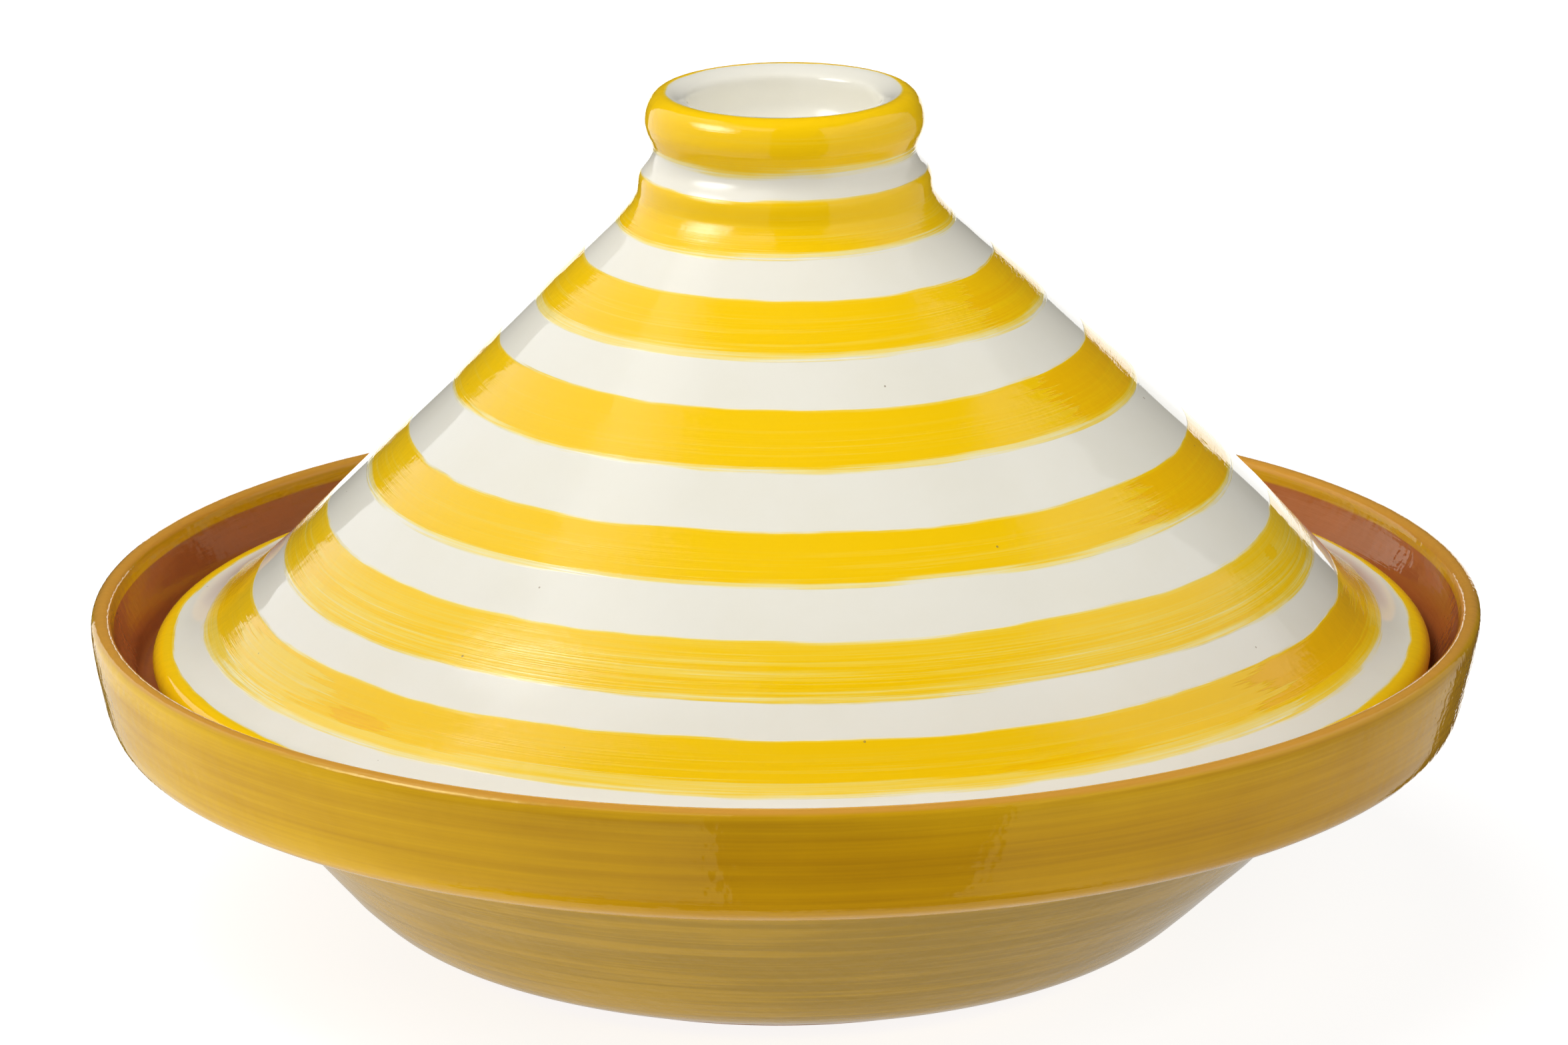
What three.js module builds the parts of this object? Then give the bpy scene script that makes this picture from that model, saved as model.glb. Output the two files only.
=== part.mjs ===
// A tagine: a wide glazed earthenware dish with a stepped collar, and a conical lid whose
// knob is a small open cup. Both are thrown on a wheel, so each piece is one closed
// profile turned about the vertical axis.
//
// Millimetres, +Z up. The origin is the middle of the foot, on the surface it stands on.

import * as THREE from 'three';

// ---------------------------------------------------------------- driving dimensions
const TURN_STEPS = 64; // facets round each turned piece
const CURVE_STEPS = 1; // straight steps for each point of a curve in a profile
const CLEARANCE = 0.3; // gap between pieces that touch

// dish
const LIP_RADIUS = 157.6; // crest of the lip
const LIP_ROUND = 2.4; // rounding of the lip, which is the widest part of the pot
const DISH_HEIGHT = 79.2; // foot to crest
const STEP_HEIGHT = 50.6; // underside of the collar
const STEP_RADIUS = 147.7; // lower edge of the collar
const FOOT_RADIUS = 75; // outer edge of the standing ring
const FOOT_RING_WIDTH = 9;
const FOOT_RECESS = 2.5; // depth of the hollow inside the ring
const WALL = 8.9; // thickness of the bowl's sloping wall, measured level
const FLOOR_TOP = 9; // inside of the bowl's floor
const LEDGE_HEIGHT = 62.6; // seat that the lid stands on
const LEDGE_OUTER = 149.3;
const LEDGE_INNER = 137.3;

// lid
const LID_BASE = LEDGE_HEIGHT + CLEARANCE; // underside of the lid's rim
const RIM_RADIUS = 147; // widest point of the lid's rolled rim
const CONE_WALL = 9; // thickness of the cone, measured level
const NECK_HEIGHT = 174.8; // where the knob is joined to the cone
const NECK_RADIUS = 33.5;
const CAP_THICKNESS = 8; // closed top of the cone, under the knob

// knob
const KNOB_BASE = NECK_HEIGHT + CLEARANCE;
const KNOB_TOP = 198.2;
const BEAD_RADIUS = 31.8; // bulge round the cup's mouth
const MOUTH_RADIUS = 21.9;
const CUP_FLOOR = 181; // inside bottom of the cup

// ---------------------------------------------------------------- materials
const glaze = (name, color, roughness) =>
  new THREE.MeshStandardMaterial({ name, color, roughness, metalness: 0 });

const ochreGlaze = glaze('ochre_glaze', 0xc99628, 0.2);
const stripedGlaze = glaze('striped_glaze', 0xf3dc86, 0.15);

// ---------------------------------------------------------------- turned pieces
/** A closed body from a profile path of (radius, height) that starts and ends on the axis. */
function turned(name, profile, material) {
  const points = profile.getPoints(CURVE_STEPS);
  const geometry = new THREE.LatheGeometry(points, TURN_STEPS);
  geometry.rotateX(Math.PI / 2); // the lathe turns about Y; the pot stands on Z
  const mesh = new THREE.Mesh(geometry, material);
  mesh.name = name;
  return mesh;
}

/** Adds a smooth curve through the given (radius, height) pairs to a path. */
function through(path, ...pairs) {
  return path.splineThru(pairs.map(([radius, height]) => new THREE.Vector2(radius, height)));
}

// ---------------------------------------------------------------- dish
/** Foot ring, spreading bowl, undercut step, leaning collar, round lip and lid seat. */
function makeDish() {
  const recessRadius = FOOT_RADIUS - FOOT_RING_WIDTH;
  const lipCentre = DISH_HEIGHT - LIP_ROUND;
  const bowlTop = 136.1; // outside of the bowl where it meets the step
  const path = new THREE.Path();
  path.moveTo(0, FOOT_RECESS);
  path.lineTo(recessRadius - 2, FOOT_RECESS);
  path.lineTo(recessRadius, 0);
  path.lineTo(FOOT_RADIUS, 0);
  path.lineTo(FOOT_RADIUS + 1.6, 1.2);
  through(path, [92.8, 7.7], [100.3, 14], [106.4, 20.3]);
  path.lineTo(bowlTop, STEP_HEIGHT + 1);
  path.lineTo(STEP_RADIUS, STEP_HEIGHT);
  through(path, [154.7, 54.2], [157.7, 62.9], [LIP_RADIUS + LIP_ROUND, lipCentre]);
  path.absarc(LIP_RADIUS, lipCentre, LIP_ROUND, 0, Math.PI / 2, false);
  path.absarc(LIP_RADIUS, lipCentre, LIP_ROUND, Math.PI / 2, Math.PI, false);
  path.lineTo(154.5, 75.2);
  path.lineTo(LEDGE_OUTER, LEDGE_HEIGHT + 1.2);
  path.lineTo(LEDGE_OUTER - 1.2, LEDGE_HEIGHT);
  path.lineTo(LEDGE_INNER + 0.8, LEDGE_HEIGHT);
  path.lineTo(LEDGE_INNER, LEDGE_HEIGHT - 0.8);
  path.lineTo(106.4 - WALL, 20.3);
  through(path, [90.5, 14.2], [80, 10.4], [66, FLOOR_TOP]);
  path.lineTo(0, FLOOR_TOP);
  return turned('dish', path, ochreGlaze);
}

// ---------------------------------------------------------------- lid
/** Closed inside the top, down the hollow cone, round the rolled rim and up the outside. */
function makeLidCone() {
  const rimInner = 136.4;
  const path = new THREE.Path();
  path.moveTo(0, NECK_HEIGHT - CAP_THICKNESS);
  through(path, [16, 165.4], [29, 162], [51.8 - CONE_WALL, 152.6]);
  through(path, [84.3 - CONE_WALL, 122.8], [108.2 - CONE_WALL, 100.2], [121.4 - CONE_WALL, 85.4]);
  through(path, [124, 74], [rimInner - 0.8, LID_BASE + 2.4]);
  path.lineTo(rimInner + 0.8, LID_BASE);
  path.lineTo(144.2, LID_BASE);
  through(path, [146.3, 64.8], [RIM_RADIUS, 67.6], [145.6, 70.2], [141.8, 71.6]);
  through(path, [135.1, 74.1], [128.4, 79.6], [121.4, 86.5]);
  through(path, [108.2, 100.7], [84.3, 124.3], [51.8, 155.9]);
  through(path, [39.6, 167.6], [NECK_RADIUS + 0.8, 173.2]);
  path.lineTo(NECK_RADIUS - 0.2, NECK_HEIGHT);
  path.lineTo(0, NECK_HEIGHT);
  return turned('lid_cone', path, stripedGlaze);
}

/** The knob: a thick cup with a bulging mouth, a pinched waist and a spreading neck. */
function makeLidKnobCup() {
  const path = new THREE.Path();
  path.moveTo(0, KNOB_BASE);
  path.lineTo(NECK_RADIUS, KNOB_BASE);
  through(path, [33.4, 178.2], [32.6, 180.2], [31.2, 182]);
  through(path, [30.3, 183.7], [30.3, 186.4], [31.2, 188.8]);
  through(path, [BEAD_RADIUS, 191.3], [31.4, 194.2], [30.2, 196.9], [28.7, 197.9]);
  through(path, [27.2, KNOB_TOP], [24.8, 197.7], [MOUTH_RADIUS, 196.4]);
  through(path, [21.2, 193.4], [19.8, 187.6], [16, 182.8], [9, CUP_FLOOR]);
  path.lineTo(0, CUP_FLOOR);
  return turned('lid_knob_cup', path, stripedGlaze);
}

// ---------------------------------------------------------------- assembly
const tagine = new THREE.Group();
tagine.name = 'tagine';
const lid = new THREE.Group(); // the two pieces that lift off together
lid.add(makeLidCone(), makeLidKnobCup());
tagine.add(makeDish(), lid);

export default tagine;
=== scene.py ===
"""A hand-thrown, hand-striped tagine: glazed dish, conical lid and open cup knob.

Every piece is turned on a potter's wheel, so each one is a single profile swept round the
vertical axis by a Geometry Nodes tree that also gives it the small faults of handwork: a
little ovality, a lean, and throwing rings. The paint and the glazes are procedural.
"""

import logging
import math
from abc import ABC, abstractmethod
from dataclasses import dataclass
from enum import Enum

import bpy
import numpy as np
from mathutils import Euler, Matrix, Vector


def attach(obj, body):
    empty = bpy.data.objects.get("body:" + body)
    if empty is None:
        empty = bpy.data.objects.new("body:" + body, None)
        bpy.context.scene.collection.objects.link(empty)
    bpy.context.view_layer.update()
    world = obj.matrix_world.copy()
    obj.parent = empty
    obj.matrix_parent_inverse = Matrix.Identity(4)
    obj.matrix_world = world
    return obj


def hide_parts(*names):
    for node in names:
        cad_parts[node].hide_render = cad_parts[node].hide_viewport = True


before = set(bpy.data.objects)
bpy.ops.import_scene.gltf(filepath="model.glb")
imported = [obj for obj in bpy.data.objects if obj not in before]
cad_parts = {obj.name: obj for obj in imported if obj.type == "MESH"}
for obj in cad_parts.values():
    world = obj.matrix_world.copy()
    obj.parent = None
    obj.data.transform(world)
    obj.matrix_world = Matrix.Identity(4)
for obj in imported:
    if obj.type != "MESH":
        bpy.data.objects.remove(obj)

log = logging.getLogger("tagine")

MM = 0.001
RUN = "run"  # mesh attribute: distance along the profile, in metres
LEAN = "lean"  # mesh attribute: how far a ring's centre is off the axis, in metres

GLAZE_IOR = 1.5

Pair = tuple[float, float]
Point = tuple[float, float, float]
Colour = tuple[float, float, float]
Node = bpy.types.Node
NodeTree = bpy.types.NodeTree
Socket = bpy.types.NodeSocket
Sockets = bpy.types.bpy_prop_collection


class Slot(Enum):
    """Names of the two material slots."""

    DISH = "dish_glaze"
    LID = "lid_glaze"


class Body(Enum):
    """The bodies that the pieces ride on."""

    DISH = "dish"
    LID = "lid"


# ------------------------------------------------------------------ node building


class Graph:
    """A thin, typed wrapper that adds nodes to a tree and links them."""

    def __init__(self, tree: NodeTree) -> None:
        """Wrap a tree."""
        self.tree = tree

    def add(self, kind: str, **settings: object) -> Node:
        """Add a node and set its properties.

        Args:
            kind: The node's Blender type.
            **settings: Properties to set on it.

        Returns:
            The new node.
        """
        node = self.tree.nodes.new(kind)
        for name, value in settings.items():
            setattr(node, name, value)
        return node

    def feed(self, socket: Socket, value: object) -> None:
        """Link a socket to another one, or set its default value.

        Args:
            socket: The input socket.
            value: An output socket, or a plain value.
        """
        if isinstance(value, Socket):
            self.tree.links.new(value, socket)
        else:
            socket.default_value = value

    def math(self, operation: str, *values: object, clamp: bool = False) -> Socket:
        """Add a Math node.

        Args:
            operation: The node's operation.
            *values: Its inputs, sockets or numbers.
            clamp: Whether the result is held between 0 and 1.

        Returns:
            The node's output.
        """
        node = self.add("ShaderNodeMath", operation=operation, use_clamp=clamp)
        for socket, value in zip(node.inputs, values):
            self.feed(socket, value)
        return node.outputs[0]

    def plus(self, a: object, b: object) -> Socket:
        """The sum of two values."""
        return self.math("ADD", a, b)

    def minus(self, a: object, b: object) -> Socket:
        """One value less another."""
        return self.math("SUBTRACT", a, b)

    def times(self, a: object, b: object) -> Socket:
        """The product of two values."""
        return self.math("MULTIPLY", a, b)

    def scaled(self, value: object, by: object, onto: object) -> Socket:
        """A value times a factor, added onto another value."""
        return self.math("MULTIPLY_ADD", value, by, onto)

    def distance(self, x: object, y: object) -> Socket:
        """How far a point is from the middle."""
        return self.math("SQRT", self.scaled(x, x, self.times(y, y)))

    def ramp(self, value: object, low: object, high: object,
             to_low: object = 0.0, to_high: object = 1.0) -> Socket:
        """Ease a value from one range to another with a smooth step.

        Args:
            value: The value.
            low: Where the step starts.
            high: Where it ends.
            to_low: The result at the start.
            to_high: The result at the end.

        Returns:
            The eased value.
        """
        node = self.add("ShaderNodeMapRange", interpolation_type="SMOOTHSTEP")
        for socket, item in zip(node.inputs, (value, low, high, to_low, to_high)):
            self.feed(socket, item)
        return node.outputs[0]

    def mix(self, factor: object, below: object, above: object,
            blend: str = "MIX") -> Socket:
        """Mix two colours.

        Args:
            factor: How much of the second shows.
            below: The first colour, a socket or three numbers.
            above: The second colour.
            blend: The blend mode.

        Returns:
            The mixed colour.
        """
        node = self.add("ShaderNodeMix", data_type="RGBA", blend_type=blend)
        self.feed(node.inputs[0], factor)
        for socket, item in ((node.inputs[6], below), (node.inputs[7], above)):
            self.feed(socket, item if isinstance(item, Socket) else (*item, 1.0))
        return node.outputs[2]

    def shaders(self, factor: object, below: Socket, above: Socket) -> Socket:
        """Mix two shaders.

        Args:
            factor: How much of the second shows.
            below: The first shader.
            above: The second shader.

        Returns:
            The mixed shader.
        """
        node = self.add("ShaderNodeMixShader")
        for socket, item in zip(node.inputs, (factor, below, above)):
            self.feed(socket, item)
        return node.outputs[0]

    def vector(self, x: object, y: object, z: object) -> Socket:
        """Combine three values into a vector.

        Args:
            x: The first value, a socket or a number.
            y: The second value.
            z: The third value.

        Returns:
            The vector.
        """
        node = self.add("ShaderNodeCombineXYZ")
        for socket, item in zip(node.inputs, (x, y, z)):
            self.feed(socket, item)
        return node.outputs[0]

    def split(self, vector: Socket) -> tuple[Socket, ...]:
        """Separate a vector.

        Args:
            vector: The vector.

        Returns:
            Its three values.
        """
        node = self.add("ShaderNodeSeparateXYZ")
        self.feed(node.inputs[0], vector)
        return tuple(node.outputs)

    def noise(self, vector: Socket, detail: float = 2.0,
              rough: float = 0.5, scale: object = 1.0) -> Socket:
        """Add a Noise texture.

        Args:
            vector: Where it is read.
            detail: How many finer layers it has.
            rough: How strongly they show.
            scale: Its cells for each unit of the vector.

        Returns:
            Its grey value.
        """
        node = self.add("ShaderNodeTexNoise")
        self.feed(node.inputs["Vector"], vector)
        self.feed(node.inputs["Scale"], scale)
        self.feed(node.inputs["Detail"], detail)
        self.feed(node.inputs["Roughness"], rough)
        return node.outputs["Fac"]

    def group(self, tree: NodeTree, **inputs: object) -> Node:
        """Place a node group.

        Args:
            tree: The group.
            **inputs: Values for its named inputs, with spaces as underscores.

        Returns:
            The group node.
        """
        node = self.add("ShaderNodeGroup", node_tree=tree)
        for name, value in inputs.items():
            self.feed(node.inputs[name.replace("_", " ")], value)
        return node


def new_group(name: str, inputs: dict[str, str], outputs: dict[str, str],
              kind: str = "ShaderNodeTree") -> tuple[Graph, Node, Node]:
    """Start a node group with named sockets.

    Args:
        name: The group's name.
        inputs: Socket type of each input.
        outputs: Socket type of each output.
        kind: The tree type.

    Returns:
        Its graph, its input node and its output node.
    """
    tree = bpy.data.node_groups.new(name, kind)
    for in_out, sockets in (("INPUT", inputs), ("OUTPUT", outputs)):
        for label, socket in sockets.items():
            tree.interface.new_socket(label, in_out=in_out, socket_type="NodeSocket" + socket)
    graph = Graph(tree)
    return graph, graph.add("NodeGroupInput"), graph.add("NodeGroupOutput")


# ------------------------------------------------------------------ outlines


@dataclass
class Outline:
    """A closed outline in (radius, height), millimetres, that is swept round the axis.

    Attributes:
        points: Its points, finely stepped, from the axis back to the axis.
        run: Distance along it at each point, in millimetres.
        cuts: Runs of the sharp corners that parting it left.
    """

    points: np.ndarray
    run: np.ndarray
    cuts: tuple[float, ...] = ()

    STEP = 0.1  # spacing of the points, in millimetres
    LEVEL_POINTS = 40  # points along a level cut
    ON_STRAIGHT, ON_BEND = 0.5, 5.0  # how densely vertices lie, flat and per radian a millimetre
    SHARPEST = 0.6  # bend past which they lie no denser, in radians a millimetre

    @classmethod
    def drawn(cls, corners: list[Pair], softness: float) -> "Outline":
        """Draw a smooth outline through some points and round it off, as a glaze does.

        Args:
            corners: The points.
            softness: How far every edge is rounded, in millimetres.

        Returns:
            The outline.
        """
        line = cls._soften(cls._spline(np.array(corners)), softness)
        return cls(line, cls._distance(line))

    @staticmethod
    def _distance(line: np.ndarray) -> np.ndarray:
        """Distance along a line at each of its points."""
        return np.concatenate(([0.0], np.cumsum(np.hypot(*np.diff(line, axis=0).T))))

    @classmethod
    def _spline(cls, points: np.ndarray) -> np.ndarray:
        """Pass a centripetal Catmull-Rom curve through some points.

        Args:
            points: The points.

        Returns:
            The curve, finely stepped.
        """
        ends = np.vstack((2 * points[0] - points[1], points, 2 * points[-1] - points[-2]))
        pieces = []
        for a, b, c, d in zip(ends, ends[1:], ends[2:], ends[3:]):
            t1 = math.sqrt(math.dist(a, b))
            t2 = t1 + math.sqrt(math.dist(b, c))
            t3 = t2 + math.sqrt(math.dist(c, d))
            count = max(3, int(math.dist(b, c) / cls.STEP))
            t = np.linspace(t1, t2, count, endpoint=False)[:, None]
            ab = a + (b - a) * t / t1
            bc = b + (c - b) * (t - t1) / (t2 - t1)
            cd = c + (d - c) * (t - t2) / (t3 - t2)
            abc = ab + (bc - ab) * t / t2
            bcd = bc + (cd - bc) * (t - t1) / (t3 - t1)
            pieces.append(abc + (bcd - abc) * (t - t1) / (t2 - t1))
        return np.vstack((*pieces, points[-1:]))

    @classmethod
    def _soften(cls, line: np.ndarray, softness: float) -> np.ndarray:
        """Blur a line along its length, with its two ends held on the axis.

        Args:
            line: The line.
            softness: Spread of the blur, in millimetres.

        Returns:
            The blurred line, evenly stepped.
        """
        run = cls._distance(line)
        even = np.linspace(0, run[-1], int(run[-1] / cls.STEP))
        line = np.column_stack([np.interp(even, run, side) for side in line.T])
        reach = int(3 * softness / cls.STEP)
        kernel = np.exp(-0.5 * (np.arange(-reach, reach + 1) * cls.STEP / softness) ** 2)
        kernel /= kernel.sum()
        before = line[1:reach + 1][::-1] * (-1, 1)
        after = line[-reach - 1:-1][::-1] * (-1, 1)
        padded = np.vstack((before, line, after))
        soft = np.column_stack([np.convolve(side, kernel, "valid") for side in padded.T])
        soft[[0, -1], 0] = 0.0
        return soft

    def near(self, place: Pair) -> int:
        """Index of the point nearest to a place."""
        return int(np.argmin(np.hypot(*(self.points - place).T)))

    def run_near(self, place: Pair) -> float:
        """Distance along the outline, in metres, of the point nearest to a place."""
        return float(self.run[self.near(place)]) * MM

    def parted(self, place: Pair) -> tuple["Outline", "Outline"]:
        """Cut the outline in two with a level cut to the axis.

        Args:
            place: Where it is cut.

        Returns:
            The part before the cut and the part after it, each closed.
        """
        at = self.near(place)
        radius, height = self.points[at]
        level = np.linspace(radius, 0.0, self.LEVEL_POINTS)[1:]
        flat = np.column_stack((level, np.full(len(level), height)))
        cut = float(self.run[at])
        before = Outline(np.vstack((self.points[:at + 1], flat)),
                         np.concatenate((self.run[:at + 1], cut + radius - level)), (cut,))
        after = Outline(np.vstack((flat[::-1], self.points[at:])),
                        np.concatenate(((cut - radius + level)[::-1], self.run[at:])), (cut,))
        return before, after

    def mesh(self, name: str, rings: int, lean: list[Pair]) -> bpy.types.Mesh:
        """Make the outline as a line of vertices that carry their run and lean.

        Args:
            name: The mesh's name.
            rings: How many vertices, closer together where the outline bends.
            lean: Ring centre's offset along X against height, as (height, offset) pairs.

        Returns:
            The line.
        """
        step = np.diff(self.run)
        turn = np.unwrap(np.arctan2(*np.gradient(self.points, self.run, axis=0).T[::-1]))
        bend = np.minimum(np.abs(np.gradient(turn, self.run)), self.SHARPEST)
        dense = self.ON_STRAIGHT + self.ON_BEND * bend
        weight = np.concatenate(([0.0], np.cumsum(dense[1:] * step)))
        at = np.interp(np.linspace(0, weight[-1], rings), weight, self.run)
        for cut in self.cuts:
            at[np.argmin(np.abs(at - cut))] = cut
        radius, height = (np.interp(at, self.run, side) for side in self.points.T)
        points = np.column_stack((radius, np.zeros(rings), height)) * MM
        mesh = bpy.data.meshes.new(name)
        mesh.from_pydata(points.tolist(), [(i, i + 1) for i in range(rings - 1)], [])
        heights, offsets = zip(*lean)
        for label, values in ((RUN, at), (LEAN, np.interp(height, heights, offsets))):
            mesh.attributes.new(label, "FLOAT", "POINT").data.foreach_set("value", values * MM)
        return mesh


def arc(centre: Pair, radius: float, start: float, end: float, count: int) -> list[Pair]:
    """Points along a circular arc in a profile.

    Args:
        centre: Its centre.
        radius: Its radius, in millimetres.
        start: The angle where it starts, in degrees from straight outwards.
        end: The angle where it ends.
        count: How many points.

    Returns:
        The points.
    """
    angles = np.radians(np.linspace(start, end, count))
    return [(centre[0] + radius * math.cos(a), centre[1] + radius * math.sin(a)) for a in angles]


# ------------------------------------------------------------------ the wheel


@dataclass
class Wheel:
    """The Geometry Nodes tree that sweeps a profile round the axis, as a wheel does.

    Attributes:
        ovality: How far the rings are out of round, in metres.
        tilt: How much the piece leans up towards +X, in metres per metre.
        ring_depth: Height of the throwing rings, in metres.
        ring_pitch: Throwing rings per metre of profile.
        steps: Vertices round each ring.
    """

    ovality: float
    tilt: float
    ring_depth: float
    ring_pitch: float
    steps: int = 448

    TREE = "throw_on_wheel"
    INPUTS = {
        "Steps Around": "Int", "Ovality": "Float", "Tilt": "Float", "Ring Depth": "Float",
        "Ring Pitch": "Float", "Seed": "Float", "Material": "Material",
    }
    OVAL_AT = 0.15  # radius where the ovality is as given, in metres
    TILT_FROM = (0.0, 0.06)  # heights between which the tilt comes in, so that the foot is flat
    RINGS_FROM = (0.0, 0.004)  # the same for the throwing rings
    RING_WAVER = 5.0  # changes of the throwing rings round the piece, per metre
    RINGS_OUT = 0.02  # radius inside which they die away, in metres
    WELD = 2e-6  # vertices closer than this become one, in metres
    CREASE = 0.9  # edges bent by more than this stay sharp, in radians

    def throw(self, name: str, line_mesh: bpy.types.Mesh, material: bpy.types.Material,
              seed: float) -> bpy.types.Object:
        """Throw one piece.

        Args:
            name: The piece's name.
            line_mesh: Its outline.
            material: Its finish.
            seed: Varies its small faults.

        Returns:
            A plain mesh object.
        """
        line = bpy.data.objects.new(name + "_line", line_mesh)
        bpy.context.scene.collection.objects.link(line)
        tree = bpy.data.node_groups.get(self.TREE) or self._build()
        values = {
            "Steps Around": self.steps, "Ovality": self.ovality, "Tilt": self.tilt,
            "Ring Depth": self.ring_depth, "Ring Pitch": self.ring_pitch,
            "Seed": seed, "Material": material,
        }
        return bake_nodes(line, tree, values, name)

    def _build(self) -> NodeTree:
        """Build the tree.

        Returns:
            The tree.
        """
        graph, start, end = new_group(
            self.TREE, {"Geometry": "Geometry", **self.INPUTS}, {"Geometry": "Geometry"},
            "GeometryNodeTree")
        given = start.outputs
        size = graph.add("GeometryNodeAttributeDomainSize", component="MESH")
        graph.feed(size.inputs[0], given["Geometry"])
        around = graph.plus(given["Steps Around"], 1)
        grid = graph.add("GeometryNodeMeshGrid")
        graph.feed(grid.inputs["Vertices X"], size.outputs["Point Count"])
        graph.feed(grid.inputs["Vertices Y"], around)
        index = graph.add("GeometryNodeInputIndex").outputs[0]
        ring = graph.math("FLOOR", graph.math("DIVIDE", graph.plus(index, 0.5), around))
        step = graph.minus(index, graph.times(ring, around))
        turn = graph.times(graph.math("DIVIDE", step, given["Steps Around"]), -math.tau)

        place = graph.add("GeometryNodeInputPosition").outputs[0]
        centre = self._at(graph, given["Geometry"], place, ring, "FLOAT_VECTOR")
        radius, _, height = graph.split(centre)
        lean = self._at(graph, given["Geometry"], self._named(graph, LEAN), ring)
        run = self._at(graph, given["Geometry"], self._named(graph, RUN), ring)

        store = graph.add("GeometryNodeStoreNamedAttribute", data_type="FLOAT", domain="POINT")
        graph.feed(store.inputs["Geometry"], grid.outputs["Mesh"])
        graph.feed(store.inputs["Name"], RUN)
        graph.feed(store.inputs["Value"], run)

        oval = graph.math("COSINE", graph.plus(graph.times(turn, 2), given["Seed"]))
        share = graph.times(radius, 1 / self.OVAL_AT)
        wide = graph.scaled(graph.times(oval, given["Ovality"]), share, radius)
        x = graph.times(wide, graph.math("COSINE", turn))
        y = graph.times(wide, graph.math("SINE", turn))
        foot_hold = graph.ramp(height, *self.TILT_FROM)
        rise = graph.times(graph.times(x, given["Tilt"]), foot_hold)
        shape = graph.add("GeometryNodeSetPosition")
        graph.feed(shape.inputs["Geometry"], store.outputs[0])
        graph.feed(shape.inputs["Position"],
                   graph.vector(graph.plus(x, lean), y, graph.plus(height, rise)))
        merge = graph.add("GeometryNodeMergeByDistance")
        graph.feed(merge.inputs["Geometry"], shape.outputs[0])
        graph.feed(merge.inputs["Distance"], self.WELD)

        rings = graph.add("GeometryNodeSetPosition")
        graph.feed(rings.inputs["Geometry"], merge.outputs[0])
        graph.feed(rings.inputs["Offset"], self._throwing_rings(graph, given))
        smooth = graph.add("GeometryNodeSetShadeSmooth")
        graph.feed(smooth.inputs["Geometry"], rings.outputs[0])
        crease = graph.add("GeometryNodeSetShadeSmooth", domain="EDGE")
        graph.feed(crease.inputs["Geometry"], smooth.outputs[0])
        angle = graph.add("GeometryNodeInputMeshEdgeAngle").outputs["Unsigned Angle"]
        graph.feed(crease.inputs["Selection"], graph.math("GREATER_THAN", angle, self.CREASE))
        graph.feed(crease.inputs["Shade Smooth"], False)
        finish_tree(graph, crease.outputs[0], given["Material"], end)
        return graph.tree

    @staticmethod
    def _named(graph: Graph, name: str) -> Socket:
        """Read a float attribute.

        Args:
            graph: The tree's graph.
            name: The attribute's name.

        Returns:
            Its value.
        """
        node = graph.add("GeometryNodeInputNamedAttribute", data_type="FLOAT")
        graph.feed(node.inputs["Name"], name)
        return node.outputs["Attribute"]

    @staticmethod
    def _at(graph: Graph, geometry: Socket, value: Socket, index: Socket,
            kind: str = "FLOAT") -> Socket:
        """Read a value from one vertex of the profile.

        Args:
            graph: The tree's graph.
            geometry: The profile.
            value: What is read.
            index: The vertex.
            kind: The value's data type.

        Returns:
            The value there.
        """
        node = graph.add("GeometryNodeSampleIndex", data_type=kind, domain="POINT")
        graph.feed(node.inputs["Geometry"], geometry)
        graph.feed(node.inputs["Value"], value)
        graph.feed(node.inputs["Index"], index)
        return node.outputs[0]

    def _throwing_rings(self, graph: Graph, given: Sockets) -> Socket:
        """Press soft, slightly uneven finger marks into the piece.

        Args:
            graph: The tree's graph.
            given: The tree's inputs, by name.

        Returns:
            How far each vertex moves, outwards from the axis.
        """
        x, y, height = graph.split(graph.add("GeometryNodeInputPosition").outputs[0])
        run = self._named(graph, RUN)
        across = graph.scaled(run, given["Ring Pitch"], given["Seed"])
        place = graph.vector(graph.times(x, self.RING_WAVER), graph.times(y, self.RING_WAVER), across)
        marks = graph.noise(place, detail=1.0, rough=0.4)
        depth = graph.times(graph.minus(marks, 0.5), given["Ring Depth"])
        held = graph.times(depth, graph.ramp(height, *self.RINGS_FROM))
        radius = graph.math("MAXIMUM", graph.distance(x, y), self.RINGS_OUT)
        share = graph.math("DIVIDE", held, radius)
        return graph.vector(graph.times(x, share), graph.times(y, share), 0.0)


def finish_tree(graph: Graph, geometry: Socket, material: Socket, end: Node) -> None:
    """End a Geometry Nodes tree with Realize Instances and Set Material.

    Args:
        graph: The tree's graph.
        geometry: What the tree has made.
        material: Its finish.
        end: The tree's output node.
    """
    real = graph.add("GeometryNodeRealizeInstances")
    graph.feed(real.inputs[0], geometry)
    dress = graph.add("GeometryNodeSetMaterial")
    graph.feed(dress.inputs["Geometry"], real.outputs[0])
    graph.feed(dress.inputs["Material"], material)
    graph.feed(end.inputs[0], dress.outputs[0])


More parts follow.
